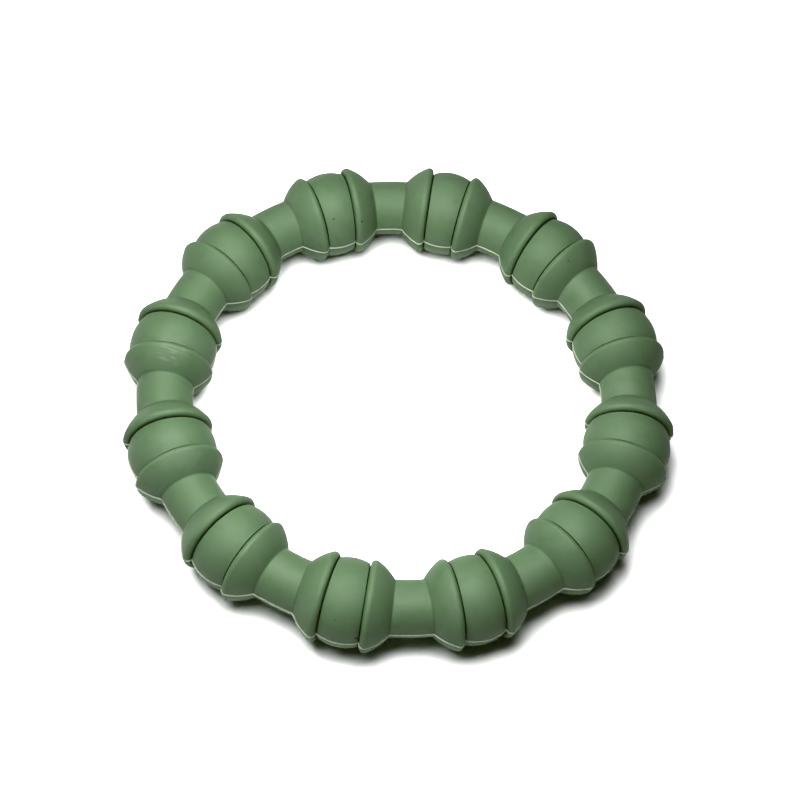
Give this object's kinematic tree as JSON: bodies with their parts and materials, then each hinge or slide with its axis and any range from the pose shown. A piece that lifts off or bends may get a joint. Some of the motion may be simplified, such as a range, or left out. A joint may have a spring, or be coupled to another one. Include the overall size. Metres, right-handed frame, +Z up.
{
  "type": "teething ring",
  "caption": "Round silicone chewing ring of ball beads held between flared collars, joined by plain necks, moulded in halves bonded around a stiff core ring.",
  "frame": {"origin": "on the resting plane, below the ring's centre", "axes": "+Z up, along the ring's axis; one ball is centred on +X"},
  "size_m": [0.0952, 0.0952, 0.0153],
  "materials": {
    "sage_silicone": "satin moulded silicone, sage green",
    "pale_bond": "translucent pale green silicone, cured in place",
    "core_nylon": "natural nylon, as moulded"
  },
  "bodies": {
    "root": {"upper_half": "sage_silicone", "lower_half": "sage_silicone", "core_ring": "core_nylon", "outer_bond": "pale_bond", "inner_bond": "pale_bond"}
  },
  "joints": []
}
